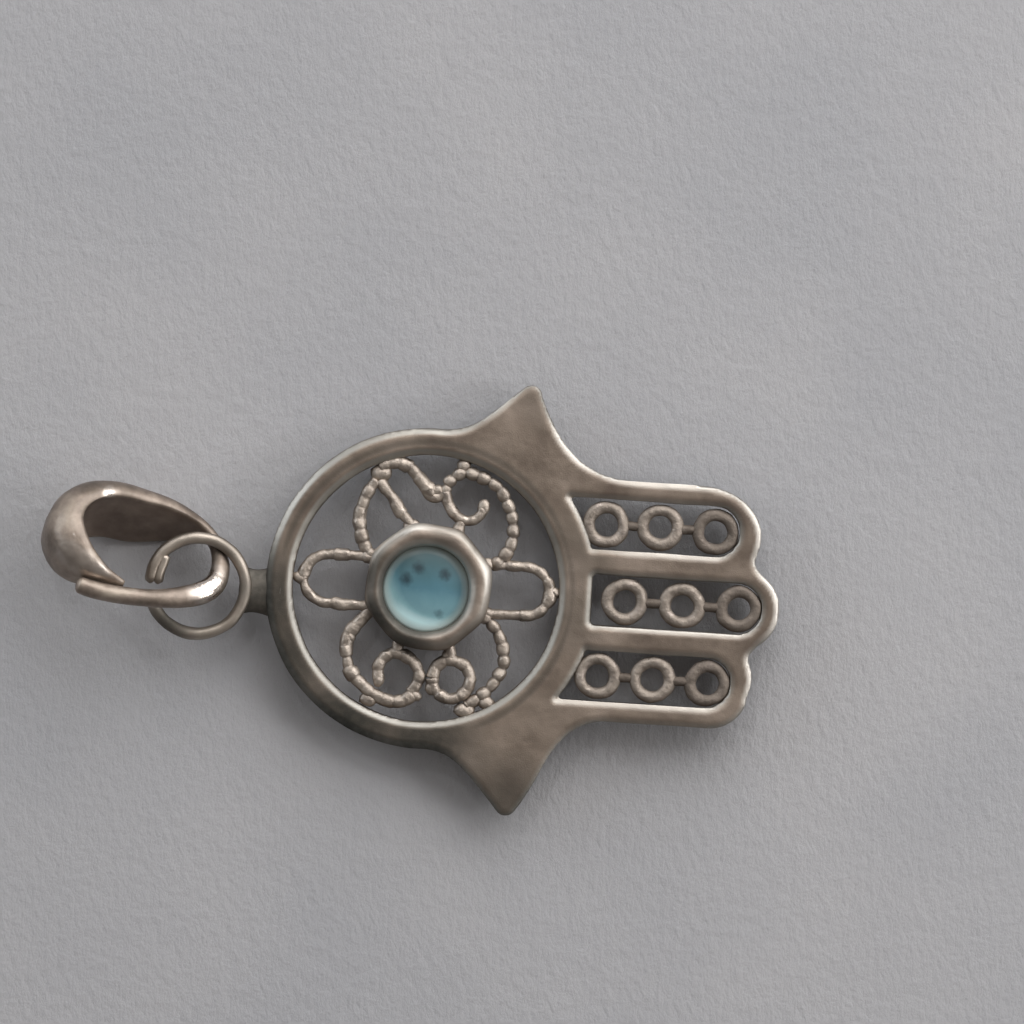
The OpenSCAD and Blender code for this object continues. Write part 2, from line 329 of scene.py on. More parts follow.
# Cast and tumbled sterling silver: satin flats with cloudy tarnish, and brighter rubbed edges
castLook = {
    "dark": "#7a6d63", "mid": "#908377", "light": "#a19387",  # the cloudy tones of its flats
    # the second colour here paints highlights, and the third darkens tarnish and painted shade alike
    "rubbed": "#a3a19b", "bareHighlight": "#e6e1d9", "patina": "#383a37", "film": "#62503f",
    # size of its clouds, specks, grain and dents, and the height of the last two, in millimetres;
    # the real grain is finer, and is drawn coarse enough to show
    "cloud": 2.8, "speckle": 0.35, "grain": 0.06, "wave": 1.1, "grainHigh": 0.02, "waveHigh": 0.2,
    "grainDepth": 0.45, "waveDepth": 0.25, "rough": (0.46, 0.57),
    "tarnishRough": 0.25, "rubSmooth": 0.06,  # what tarnish adds to the roughness, and rubbing takes away
    "rub": 0.8, "wall": 0.55, "wear": 0.0,  # share of rubbed tone, of film on walls, and polish under painted highlights
    "tarnish": 0.8, "tarnishTop": 1.5, "tarnishFoot": 0.8,  # its share, and where it begins and is full
    "even": 0.88, "glint": 0.0, "coat": 0.0, "coatRough": 0.12,  # evenness of the tarnish, glints and wax
}
# The setting is burnished round the stone, so it is duller and softer than the cast metal
settingLook = dict(castLook, dark="#857a6f", mid="#978a7f", light="#a89c91", wave=0.9, rub=0.4,
                   rough=(0.48, 0.58))
# The loop ring's wire has been rubbed by the bail, so it is brighter and greyer than the frame
loopLook = dict(castLook, dark="#9b9186", mid="#aca297", light="#bab0a5", rub=0.0, rough=(0.4, 0.5))
# Soldered filigree wire, blackened and wiped: dark between the beads and cream on their tops
filigreeLook = dict(castLook, dark="#948a81", mid="#a89d92", light="#bcb1a6", patina="#43382f",
                    film="#6a5647", cloud=0.8, wave=0.3, grainDepth=0.6, waveDepth=0.35, rough=(0.5, 0.62),
                    rub=0.0, wall=0.25, tarnish=0.5, tarnishTop=1.55, tarnishFoot=1.2, even=0.65, coat=0.35,
                    glint=0.25)
# Small cast rings left matte by the mould: dull, with no gloss to speak of
ringLook = dict(castLook, dark="#8f857c", mid="#a0968c", light="#b0a59c", patina="#41362f", film="#6c5a4d",
                cloud=0.7, wave=0.28, grainDepth=0.8, waveDepth=0.3, rough=(0.58, 0.68), rub=0.0, wall=0.25,
                tarnish=0.4, tarnishTop=1.6, tarnishFoot=1.3, even=0.65, glint=0.18)
# Polished sterling silver bail: worn to a soft shine gone warm, and dark inside
bailLook = dict(castLook, dark="#766b61", mid="#95887d", light="#b0a497", bareHighlight="#ddd3ca", patina="#806f64",
                film="#5a4d45", cloud=1.5, grain=0.08, wave=0.7, grainDepth=0.2, waveDepth=0.24,
                rough=(0.52, 0.6), rub=0.0, wall=0.25, wear=0.42, tarnish=0.0, even=0.92, coat=0.3)
castSilver = silver("castSatinSilver", castLook)
loopSilver = silver("rubbedSilverWire", loopLook)
settingSilver = silver("burnishedSilver", settingLook)
filigreeSilver = silver("blackenedFiligreeSilver", filigreeLook)
ringSilver = silver("matteCastSilver", ringLook)
bailSilver = silver("polishedSilver", bailLook)


# Polished blue stone with a few black specks under the gloss: milky at one side, where its light is painted,
# and deep blue at the other, painted as the collar's shade
stoneLook = {
    # the pale end of these is painted light, and the deep end painted shade; blue and milky are the stone's
    # own
    "pale": "#c3e4e7", "milky": "#7fa6ad", "blue": "#47707d", "deep": "#38595f", "speck": "#18333c",
    "start": 0.22, "downwardLight": 0.2,  # how pale it is in the middle, and how much paler a millimetre below: painted light and shade
    # painted light in a crescent: the place it lies away from, where it begins and is full, and its share
    "shadedPlace": (0.5, 0.5), "litFrom": 1.7, "litTo": 2.45, "litShare": 0.46,
    "marble": 1.1, "marbling": 0.25, "wobble": 0.25, "shake": 0.3,  # the last two make the specks ragged
    "rough": 0.4, "ior": 1.5, "coat": 0.2, "coatRough": 0.25,
    # painted light: a pale ring under the lip that lifts its shadow, and where it begins and ends
    "rimLight": "#a7aba4", "rimLightFrom": 1.55, "rimLightTo": 1.98, "rimLightShare": 0.72,
    "speckEdge": (2.4, 0.45),  # where a speck begins and is full, in shares of its radius
    # x, y, radius and strength
    "specks": [(-0.4, 0.94, 0.16, 1.0), (-0.92, 0.37, 0.16, 0.95), (0.83, 0.72, 0.15, 1.0),
               (0.66, -1.1, 0.11, 0.5)],
}


def blueStone(look):
    material, tree, shader, coords = startMaterial("polishedBlueStone")
    place = coords.outputs["Object"]
    flat = addNode(tree, "VectorMath", {"operation": "MULTIPLY", 1: (1, 1, 0)}, {0: place})
    marble = addNode(tree, "TexNoise", {"Scale": 1 / (look["marble"] * mm), "Detail": 4, "Distortion": 0.6},
                     {"Vector": place})
    # painted light and shade: it pales downwards, and most of all in a crescent far from one place under the
    # dome
    axes = addNode(tree, "SeparateXYZ", {}, {0: place})
    lower = addNode(tree, "Math",
                    {"operation": "MULTIPLY_ADD", 1: -look["downwardLight"] / mm, 2: look["start"]},
                    {0: axes.outputs["Y"]})
    away = addNode(tree, "VectorMath",
                   {"operation": "DISTANCE", 1: tuple(c * mm for c in look["shadedPlace"]) + (0,)},
                   {0: flat.outputs[0]})
    spread = addNode(tree, "MapRange",
                     {"From Min": look["litFrom"] * mm, "From Max": look["litTo"] * mm,
                      "To Max": look["litShare"]}, {"Value": away.outputs["Value"]})
    both = addNode(tree, "Math", {}, {0: lower.outputs[0], 1: spread.outputs["Result"]})
    cloudy = addNode(tree, "Math", {"operation": "MULTIPLY_ADD", 1: look["marbling"]},
                     {0: marble.outputs["Fac"], 2: both.outputs[0]})
    zones = addNode(tree, "ValToRGB",
                    {"stops": [(0.1, look["deep"]), (0.35, look["blue"]), (0.65, look["milky"]),
                               (0.95, look["pale"])]}, {"Fac": cloudy.outputs[0]})
    wobble = addNode(tree, "TexNoise", {"Scale": 1 / (look["wobble"] * mm), "Detail": 3}, {"Vector": place})
    jolt = look["shake"] * mm
    shake = addNode(tree, "VectorMath", {"operation": "MULTIPLY_ADD", 1: (jolt, jolt, 0)},
                    {0: wobble.outputs["Color"], 2: flat.outputs[0]})
    fade, core = look["speckEdge"]
    covered = None
    for x, y, radius, strength in look["specks"]:  # the shake moves them half its own size, so that is added
        near = addNode(tree, "VectorMath",
                       {"operation": "DISTANCE", 1: (x * mm + jolt / 2, y * mm + jolt / 2, 0)},
                       {0: shake.outputs[0]})
        dot = addNode(tree, "MapRange",
                      {"From Min": radius * fade * mm, "From Max": radius * core * mm, "To Max": strength},
                      {"Value": near.outputs["Value"]})
        if covered:
            dot = addNode(tree, "Math", {"operation": "MAXIMUM"}, {0: covered, 1: dot.outputs["Result"]})
        covered = dot.outputs[0]
    color = addNode(tree, "Mix", {"data_type": "RGBA", 7: linear(look["speck"])},
                    {"Factor": covered, 6: zones.outputs["Color"]})
    # painted light: a pale grey ring under the lip, where its shadow falls
    out = addNode(tree, "VectorMath", {"operation": "LENGTH"}, {0: flat.outputs[0]})
    rimLit = addNode(tree, "MapRange",
                    {"From Min": look["rimLightFrom"] * mm, "From Max": look["rimLightTo"] * mm,
                     "To Max": look["rimLightShare"]}, {"Value": out.outputs["Value"]})
    color = addNode(tree, "Mix", {"data_type": "RGBA", 7: linear(look["rimLight"])},
                    {"Factor": rimLit.outputs["Result"], 6: color.outputs[2]})
    tree.links.new(color.outputs[2], shader.inputs["Base Color"])
    for socket, key in (("Roughness", "rough"), ("IOR", "ior"), ("Coat Weight", "coat"),
                        ("Coat Roughness", "coatRough")):
        shader.inputs[socket].default_value = look[key]
    return material


stoneBlue = blueStone(stoneLook)
print("materials ready")

# Cast frame: palm ring, thumbs and fingers in one outline with four openings, its front softly domed
frameShape = {
    "palmOuter": 7.3, "palmHole": 6.06, "voxel": 0.1, "shoreStep": 0.05, "uneven": (1.7, 0.035, 6),
    "upperTip": (4.22, 9.05), "lowerTip": (4.25, -9.57), "tipRadius": 0.5,
    "fingerHalf": 5.5, "cornerRadius": 1.75, "outerEnd": 14.95, "middleTip": 1.9, "middleEnd": 16.1,
    "slotHalf": 1.15, "slotCorner": 0.12, "pitch": 3.45, "slotStart": 7.78, "outerSlotEnd": 14.1,
    "middleSlotStart": 7.55, "middleSlotEnd": 15.3,
    # where the thumbs' four sides begin and how they bend
    "upperFrom": 8.9, "palmTop": (0.3, 7.28), "palmFoot": (0.2, -7.28), "lowerFrom": 8.4,
    "upperOut": [(6.35, 5.6), (5.3, 7.5)], "upperIn": [(2.4, 8.2), (1.9, 7.3)],
    "lowerIn": [(1.7, -7.25), (2.4, -8.2)], "lowerOut": [(5.9, -8.2), (6.2, -5.7)],
    # how far in from an edge the front falls away, and how far down; then the same for the back
    "fingers": {"width": 0.28, "drop": 0.08, "power": 1.0},
    "palm": {"width": 0.32, "drop": 0.2, "power": 1.0},
    "rim": {"width": 0.13, "drop": 0.02, "power": 1.0},
    "back": {"width": 0.2, "drop": 0.1, "power": 1.2},
    "palmTo": 8.1, "palmFade": 0.9,  # the palm ring is rounder than the fingers, and changes over there
    "snap": 0.1,  # how near the outline the cells are pulled to it
    "lineRadius": 6.66, "lineWidth": 0.2, "lineShade": 0.5,  # a painted shade line where the opening's bevel ends
    # tarnish, and painted shade on the side turned from the light: x, y, reach and how dark
    "tarnishAndShade": [(-7.3, -1.0, 3.2, 0.85), (-6.2, -3.6, 3.6, 0.8), (-3.2, -6.3, 3.8, 0.9),
                  (0.3, -7.0, 3.3, 0.85), (2.6, -8.0, 1.8, 0.45), (4.3, -9.6, 2.8, 0.6), (4.9, 9.0, 1.8, 0.3),
                  (6.9, 2.2, 2.2, 0.35), (6.8, -0.8, 2.0, 0.35)],
    # painted highlights on the outer edges that face the light: x, y, reach and share; then how far in from
    # the edge
    "highlightedEdges": [(16.3, 0.3, 2.3, 1.0), (15.3, 3.6, 1.9, 0.9), (15.2, -3.1, 1.5, 0.8),
                    (10.6, 5.6, 3.2, 0.7), (6.1, 6.8, 1.8, 0.7), (3.0, 8.5, 1.4, 0.5), (-6.6, 3.4, 2.6, 0.4)],
    "highlightWidth": 0.3,
    "slotHighlight": 0.5, "slotHighlightWay": (0.45, 0.89),  # painted highlights too on the slots' edges that face this way
    # the ends of the outer fingers swell a little and dip again before the middle one
    "lowEnd": [(14.88, -4.05), (15.0, -3.6), (15.06, -3.2), (14.98, -2.7), (14.85, -2.35), (14.85, -2.1),
               (15.0, -1.85)],
    "topEnd": [(15.0, 1.85), (14.88, 2.1), (14.9, 2.4), (15.01, 2.8), (15.06, 3.25), (14.98, 3.8),
               (14.72, 4.3), (14.24, 4.82), (13.56, 5.23), (12.8, 5.45), (12.0, 5.5)],
}


def frameOutline(s):
    tip, low, r = s["upperTip"], s["lowerTip"], s["tipRadius"]
    half, corner = s["fingerHalf"], s["cornerRadius"]
    endX, tipX = s["outerEnd"] - corner, s["middleEnd"] - s["middleTip"]
    line = arcPoints((tipX, 0), s["middleTip"], -58, 58)
    line += [vec(*p) for p in smoothRows(s["topEnd"], 4)]
    line += bezierPoints((s["upperFrom"], half), *s["upperOut"], (tip[0] + r * 0.97, tip[1] + r * 0.1))
    line += arcPoints(tip, r, 12, 130, 14)
    line += bezierPoints((tip[0] - r * 0.7, tip[1] + r * 0.7), *s["upperIn"], s["palmTop"])[1:]
    line += arcPoints((0, 0), s["palmOuter"], 91, 171, 3)
    line += arcPoints((0, 0), s["palmOuter"], 174, 268, 3)
    line += bezierPoints(s["palmFoot"], *s["lowerIn"], (low[0] - r * 0.8, low[1] - r * 0.6))
    line += arcPoints(low, r, 226, 318, 14)
    line += bezierPoints((low[0] + r * 0.85, low[1] - r * 0.5), *s["lowerOut"],
                         (s["lowerFrom"], -half))[1:]
    line += arcPoints((endX, corner - half), corner, -90, -20, 7)
    line += [vec(*p) for p in smoothRows(s["lowEnd"], 4)]
    return line


def slotOutline(s, y, start, end):
    half, cut = s["slotHalf"], s["slotCorner"]
    line = arcPoints((end - half, y), half, -90, 90, 9)
    if y == 0:
        line += [vec(start + cut, half), vec(start, half - cut)]
        line += [vec(start, cut - half), vec(start + cut, -half)]
    else:  # the outer slots start along the palm ring
        for edge in sorted((y - half, y + half), reverse=True):
            line.append(vec(math.sqrt(start ** 2 - edge ** 2), edge))
        first = math.degrees(math.atan2(y + half, line[-2].x))
        last = math.degrees(math.atan2(y - half, line[-1].x))
        line = line[:-2] + arcPoints((0, 0), start, first, last, 3)
    return line


def makeFrame(s):
    data = bpy.data.curves.new("frameOutline", "CURVE")
    data.dimensions = "2D"
    data.fill_mode = "BOTH"
    outlines = [frameOutline(s), arcPoints((0, 0), s["palmHole"], 0, 357, 3),
                slotOutline(s, s["pitch"], s["slotStart"], s["outerSlotEnd"]),
                slotOutline(s, 0, s["middleSlotStart"], s["middleSlotEnd"]),
                slotOutline(s, -s["pitch"], s["slotStart"], s["outerSlotEnd"])]
    for line in outlines:
        spline = data.splines.new("POLY")
        spline.points.add(len(line) - 1)
        spline.use_cyclic_u = True
        for point, at in zip(spline.points, line):
            point.co = (at.x, at.y, 0, 1)
    half = (levels["deck"] - levels["frameBack"]) / 2
    data.extrude = half
    flat = addObject("frameOutline", data)
    bpy.context.view_layer.update()
    plate = addObject("framePlate", bpy.data.meshes.new_from_object(flat))
    bpy.data.objects.remove(flat)
    cells = plate.modifiers.new("cells", "REMESH")
    cells.mode = "VOXEL"
    cells.voxel_size = s["voxel"]
    bpy.context.view_layer.update()
    mesh = bpy.data.meshes.new_from_object(plate.evaluated_get(bpy.context.evaluated_depsgraph_get()))
    bm = bmesh.new()
    bm.from_mesh(mesh)
    bpy.data.objects.remove(plate)
    shores = [evenly(line + line[:1], s["shoreStep"]) for line in outlines]
    outerCount, slotsFrom = len(shores[0]), len(shores[0]) + len(shores[1])
    tree = kdtree.KDTree(sum(len(shore) for shore in shores))
    for i, at in enumerate(at for shore in shores for at in shore):
        tree.insert(at, i)
    tree.balance()
    patina = bm.verts.layers.float.new("patina")
    for vert in bm.verts:
        edge, nearest, inward = tree.find((vert.co.x, vert.co.y, 0))
        if inward < s["snap"]:  # the cells round the corners off, so the walls go back to the outline
            vert.co.xy = edge.xy.lerp(vert.co.xy, inward / s["snap"])
            inward *= inward / s["snap"]
        falls = [(s["back"], 1)]
        palm = clamp((s["palmTo"] - edge.xy.length) / s["palmFade"])
        if vert.co.z > 0:
            falls = [(s["palm"], palm), (s["fingers"], 1 - palm), (s["rim"], 1)]
        drop = sum(share * f["drop"] * max(0, 1 - inward / f["width"]) ** f["power"] for f, share in falls)
        vert.co.z *= 1 - drop / half
        # painted shade in a dark line, and tarnish with painted shade in spots
        line = s["lineShade"] * max(0, 1 - ((vert.co.xy.length - s["lineRadius"]) / s["lineWidth"]) ** 2)
        spots = [dark * nearness(vert.co, x, y, reach) for x, y, reach, dark in s["tarnishAndShade"]]
        if edge.xy.length < s["lineRadius"] and vert.co.z > 0:  # the spots' tarnish and painted shade stop short of the opening's bevel
            spots = [spot * clamp(inward / s["palm"]["width"] * 2 - 1.2) for spot in spots]
        vert[patina] = max([line] + spots)
        # the painted highlight is on the rim, and fades inwards and down the walls
        paintedHighlight = max(0, vert.co.z / half) ** 2 * max(0, 1 - inward / s["highlightWidth"]) ** 0.5
        if nearest < outerCount:
            vert[patina] -= paintedHighlight * max(share * nearness(vert.co, x, y, reach)
                                        for x, y, reach, share in s["highlightedEdges"])
        elif nearest >= slotsFrom and inward > 0.02:
            facing = (edge.xy - vert.co.xy).normalized().dot(vec(*s["slotHighlightWay"]).xy)
            vert[patina] -= paintedHighlight * s["slotHighlight"] * max(0, facing)
    bmesh.ops.translate(bm, verts=bm.verts, vec=vec(0, 0, levels["deck"] - half))
    bm.normal_update()
    roughen(bm.verts, s["uneven"])
    finishPiece(bm, "castFrame", castSilver)


makeFrame(frameShape)

# Setting: a deep cup whose collar is softly eight-sided, with a ridge that slopes in to the stone
settingShape = {
    "sides": 8, "turn": 18, "cornerRadius": 1.035,  # corner radius as a share of the flat sides' distance
    "roundness": 26, "uneven": (1.4, 0.05, 3), "segments": 96,
    "lip": 2.04, "shift": (0.1, 0.08),  # outside the lip the collar sits a little off the stone's middle
    "collarHighlights": [(11.5, 10, 0.8), (70, 8, 0.4), (117, 4, 0.65)],  # painted highlights on the rim: way in degrees, how narrow and share
    # tarnish, and painted shade on the side turned from the light: x, y, reach and how dark
    "tarnishAndShade": [(-2.6, 0.5, 1.5, 0.65), (-2.3, -1.4, 1.7, 0.85), (-0.9, -2.6, 1.6, 0.8),
                  (0.9, 2.75, 1.1, 0.4)],
    # where the rim begins and is full, then a painted highlight where it faces this way, and its share
    "rimFrom": 2.66, "rimFade": 0.1, "highlightWay": (-0.77, 0.64), "highlightShare": 0.35,
    # painted light on the slope down to the stone: where it begins and is full, the way it faces and its
    # share
    "slopeFrom": 2.3, "slopeFade": 0.25, "slopeLightWay": (0.64, 0.77), "slopeLightShare": 0.75,
    # the last two give where the rim's painted highlights begin and are full in height
    "floorTo": 0.3, "collarFrom": 1.5, "collarFade": 0.5, "highlightFrom": 2.1, "highlightFade": 0.2,
    # radius, height and how eight-sided the ring is there
    "rows": [(0, 0, 0), (2.3, 0, 0), (2.62, 0.02, 1), (2.72, 0.1, 1), (2.76, 0.3, 1), (2.76, 1.7, 1),
             (2.82, 1.92, 1), (2.87, 2.05, 1), (2.89, 2.15, 1), (2.88, 2.25, 1), (2.85, 2.34, 1),
             (2.79, 2.43, 1), (2.72, 2.51, 0.97), (2.64, 2.58, 0.92), (2.55, 2.635, 0.85), (2.46, 2.67, 0.73),
             (2.37, 2.685, 0.58), (2.28, 2.665, 0.42), (2.2, 2.625, 0.28), (2.12, 2.56, 0.15),
             (2.05, 2.48, 0.05), (2.0, 2.39, 0), (1.97, 2.29, 0), (1.96, 2.16, 0), (1.97, 2.06, 0),
             (2.03, 2.0, 0), (2.03, 1.27, 0), (0, 1.27, 0)],
}


def collarRadius(s, angle):
    turn = math.radians((math.degrees(angle) - s["turn"]) % (360 / s["sides"]) - 180 / s["sides"])
    power = s["roundness"]
    return (math.cos(turn) ** power + s["cornerRadius"] ** -power) ** (-1 / power)


def makeSetting(s):
    bm = bmesh.new()
    lathe(bm, [(r, z) for r, z, _ in s["rows"]], s["segments"])
    octagonal = {round(z * 1000): share for r, z, share in s["rows"] if r > s["lip"]}
    for vert in bm.verts:
        share = octagonal.get(round(vert.co.z * 1000), 0)
        if share and vert.co.xy.length > s["lip"]:
            grow = 1 + (collarRadius(s, math.atan2(vert.co.y, vert.co.x)) - 1) * share
            vert.co.xy = vert.co.xy * grow
            if vert.co.z > s["collarFrom"]:
                vert.co += vec(*s["shift"]) * min(1, (vert.co.xy.length - s["lip"]) / s["collarFade"])
    bmesh.ops.recalc_face_normals(bm, faces=bm.faces)
    bm.normal_update()
    roughen([v for v in bm.verts if v.co.z > s["floorTo"]], s["uneven"])
    patina = bm.verts.layers.float.new("patina")
    for vert in bm.verts:
        out, way = vert.co.xy.length, vert.co.xy.normalized()
        angle = math.atan2(vert.co.y, vert.co.x)
        spots = [dark * nearness(vert.co, x, y, reach) for x, y, reach, dark in s["tarnishAndShade"]]
        rim = clamp((out - s["rimFrom"]) / s["rimFade"])
        # painted highlights on the rim: on one way, and on a few more
        rubbed = rim * max(0, way.dot(vec(*s["highlightWay"]).xy))
        ways = [share * max(0, math.cos(angle - math.radians(turn))) ** narrow
                for turn, narrow, share in s["collarHighlights"]]
        wearAndHighlight = rim * clamp((vert.co.z - s["highlightFrom"]) / s["highlightFade"]) * max(ways)
        # painted light on one side of the slope down to the stone
        slope = clamp((s["slopeFrom"] - out) / s["slopeFade"])
        slopeLight = slope * max(0, way.dot(vec(*s["slopeLightWay"]).xy))
        vert[patina] = (max(spots) * (1 - rubbed) - s["highlightShare"] * rubbed
                        - s["slopeLightShare"] * slopeLight - wearAndHighlight)
    finishPiece(bm, "stoneSetting", settingSilver)


makeSetting(settingShape)

# Cabochon: a round stone under the collar's lip
stoneShape = {"radius": 1.99, "foot": 1.31, "edge": 0.12, "girdle": 1.98, "dome": 0.36, "domeSteps": 14,
              "segments": 72, "uneven": (0.9, 0.02, 8)}


def makeStone(s):
    radius, foot, steps = s["radius"], s["foot"], s["domeSteps"]
    ball = (radius ** 2 + s["dome"] ** 2) / (2 * s["dome"])
    profile = [(0, foot), (radius - s["edge"], foot), (radius, foot + s["edge"]), (radius, s["girdle"])]
    widest = math.asin(radius / ball)
    for i in range(1, steps + 1):
        a = widest * (1 - i / steps)
        high = s["girdle"] + s["dome"] - ball * (1 - math.cos(a))
        profile.append((ball * math.sin(a) if i < steps else 0, high))
    bm = bmesh.new()
    lathe(bm, profile, s["segments"])
    bm.normal_update()
    roughen([v for v in bm.verts if v.co.z > s["girdle"]], s["uneven"])
    finishPiece(bm, "cabochon", stoneBlue, replaces="stone")


makeStone(stoneShape)

# Small rings in the finger slots, soldered in rows
ringShape = {
    "radius": 0.79, "wire": 0.28, "web": 0.22, "overlap": 0.05, "webTarnish": 0.6,
    "sides": 14, "steps": 44, "wobble": 0.07, "lift": 0.05, "uneven": (0.3, 0.025, 5),
    "tarnish": (0.05, 0.05, 0.45),  # how dark the first, second and third ring of a row are; the third, by the slot's end, is darkest
    # y of a row, then x of its rings
    "rows": [(3.45, [7.98, 10.45, 12.98]), (0, [9.05, 11.68, 14.25]), (-3.45, [8.05, 10.55, 13.05])],
}


def makeFingerRings(s):
    bm = bmesh.new()
    patina = bm.verts.layers.float.new("patina")
    high = levels["miniRing"]
    upright = Euler((math.pi / 2, 0, 0)).to_matrix().to_4x4()
    seed = 0
    for y, places in s["rows"]:
        for x, tarnish in zip(places, s["tarnish"]):
            seed += 1
            before = set(bm.verts)
            place = Matrix.Translation((x + s["radius"], y, high)) @ upright
            tube = bmesh.ops.create_circle(bm, cap_ends=False, radius=s["wire"], segments=s["sides"],
                                           matrix=place)["verts"]
            edges = list({e for v in tube for e in v.link_edges})
            bmesh.ops.spin(bm, geom=tube + edges, cent=(x, y, high), axis=(0, 0, 1), dvec=(0, 0, 0),
                           angle=2 * math.pi, steps=s["steps"], use_merge=True, use_duplicate=False)
            for vert in set(bm.verts) - before:  # no two rings are quite alike
                out = vec(vert.co.x - x, vert.co.y - y)
                vert.co += out.normalized() * s["wobble"] * noise.noise(out * 0.9 + vec(seed * 3.1, 0))
                vert.co.z += s["lift"] * noise.noise(out * 1.4 + vec(0, seed * 2.3))
                vert[patina] = tarnish
        reach = s["radius"] - s["overlap"]
        for a, b in zip(places, places[1:]):
            wire(bm, [vec(a + reach, y, high), vec(b - reach, y, high)], s["web"], dark=s["webTarnish"])
    bm.normal_update()
    roughen(bm.verts, s["uneven"])
    finishPiece(bm, "fingerRings", ringSilver)


makeFingerRings(ringShape)

# Filigree: beaded scroll wires between the setting and the palm ring
filigree = {
    "radius": 0.3, "plain": 0.265, "step": 5, "sides": 14, "taper": 0.12,
    "uneven": (0.5, 0.07, 2),
    "bold": {"pitch": 0.58, "depth": 0.3, "differ": 0.2},
    "soft": {"pitch": 0.52, "depth": 0.09, "differ": 0.3},
    "faint": {"pitch": 0.66, "depth": 0.05, "differ": 0.3},
    # bead pattern of each wire, and the points that it runs through
    "wires": [
        ("soft", [(-2.35, 1.2), (-2.75, 1.5), (-3.1, 2.2), (-3.25, 3.0), (-3.12, 3.7), (-2.9, 4.3),
                  (-2.55, 4.8)]),
        ("soft", [(-2.5, 5.3), (-2.0, 5.58), (-1.55, 5.62), (-1.09, 5.42), (-0.55, 4.92), (-0.1, 4.45),
                  (0.5, 4.5)]),
        ("faint", [(-2.5, 4.8), (-1.95, 4.2), (-1.45, 3.5), (-0.95, 2.95), (-0.75, 2.6)]),
        ("faint", [(-0.45, 4.75), (-0.1, 4.25), (0.35, 4.25), (0.75, 4.75)]),
        ("faint", [(0.55, 4.55), (0.8, 3.85), (1.2, 3.35), (1.7, 3.2), (2.15, 3.4), (2.38, 3.85)]),
        ("faint", [(1.25, 2.3), (1.3, 2.8), (1.45, 3.2)]),
        ("bold", [(0.55, 4.7), (1.1, 5.25), (1.7, 5.35), (2.35, 5.15), (2.95, 4.8), (3.35, 4.25),
                  (3.65, 3.65), (3.8, 3.0), (3.78, 2.4), (3.55, 1.85), (3.15, 1.35), (2.8, 1.2)]),
        ("soft", [(-2.4, -1.1), (-2.85, -1.6), (-3.4, -2.4), (-3.42, -3.2), (-3.15, -4.0), (-2.65, -4.55),
                  (-2.0, -4.98), (-1.4, -5.2), (-0.7, -5.15), (-0.25, -4.8)]),
        ("soft", [(-1.85, -4.35), (-1.95, -3.75), (-1.75, -3.3), (-1.3, -3.05), (-0.8, -3.1), (-0.35, -3.4),
                  (-0.05, -3.9), (-0.15, -4.4), (-0.5, -4.8)]),
        ("soft", [(0.54, -4.05), (0.66, -3.6), (1.0, -3.28), (1.4, -3.19), (1.85, -3.32), (2.15, -3.62),
                  (2.26, -4.05), (2.12, -4.5), (1.8, -4.8), (1.4, -4.91), (0.98, -4.8), (0.66, -4.5),
                  (0.54, -4.05)]),
        ("faint", [(-1.1, -2.4), (-1.1, -2.8), (-1.2, -3.15)]),
        ("faint", [(1.2, -2.3), (1.3, -2.8), (1.38, -3.2)]),
        ("bold", [(2.5, -0.95), (2.85, -1.2), (3.3, -1.7), (3.65, -2.4), (3.77, -3.0), (3.62, -3.6),
                  (3.25, -4.25), (2.7, -4.8), (2.1, -5.25)]),
    ],
    # solder lumps: x, y, width, depth and height
    "lumps": [
        (-2.35, 5.1, 0.52, 0.4, 0.27), (-2.05, 5.7, 0.36, 0.3, 0.27), (-0.8, 2.75, 0.42, 0.36, 0.26),
        (0.1, 4.45, 0.5, 0.32, 0.25), (2.4, 3.85, 0.3, 0.42, 0.28), (1.35, 5.7, 0.36, 0.34, 0.26),
        (-1.88, -4.3, 0.3, 0.34, 0.27), (-3.36, -2.42, 0.33, 0.36, 0.27), (-0.25, -4.9, 0.4, 0.28, 0.25),
        (0.5, -4.5, 0.3, 0.36, 0.25), (2.1, -5.4, 0.5, 0.36, 0.26), (-2.25, -5.2, 0.42, 0.36, 0.26),
        (3.05, -5.0, 0.42, 0.34, 0.26), (1.2, -3.0, 0.3, 0.36, 0.25), (2.5, -1.0, 0.42, 0.3, 0.26),
        (2.75, 1.3, 0.42, 0.3, 0.26), (-2.5, 1.35, 0.42, 0.32, 0.27), (-2.5, -1.05, 0.4, 0.3, 0.26),
    ],
}


def makeScrolls(s):
    bm = bmesh.new()
    for pattern, points in s["wires"]:
        line = [vec(x, y, levels["wire"]) for x, y in smoothRows(points, s["step"])]
        taper = 0 if points[0] == points[-1] else s["taper"]
        wire(bm, line, s["plain"] if pattern == "faint" else s["radius"], s[pattern], sides=s["sides"],
             taper=(taper, taper))
    for seed, (x, y, wide, deep, high) in enumerate(s["lumps"]):
        blob(bm, (x, y, levels["wire"]), (wide, deep, high), seed * 2.3)
    bm.normal_update()
    roughen(bm.verts, s["uneven"])
    finishPiece(bm, "scrollWires", filigreeSilver)


makeScrolls(filigree)

# Petals: two plain wire loops that hold the setting in the palm ring
petalShape = {"halfWidth": 1.1, "y": 0.16, "leftX": -4.5, "rightX": 4.55, "root": 2.3, "wire": 0.26,
              "belly": 1.02, "joint": (0.42, 0.3, 0.24), "jointOut": 0.15, "uneven": (0.5, 0.07, 9)}


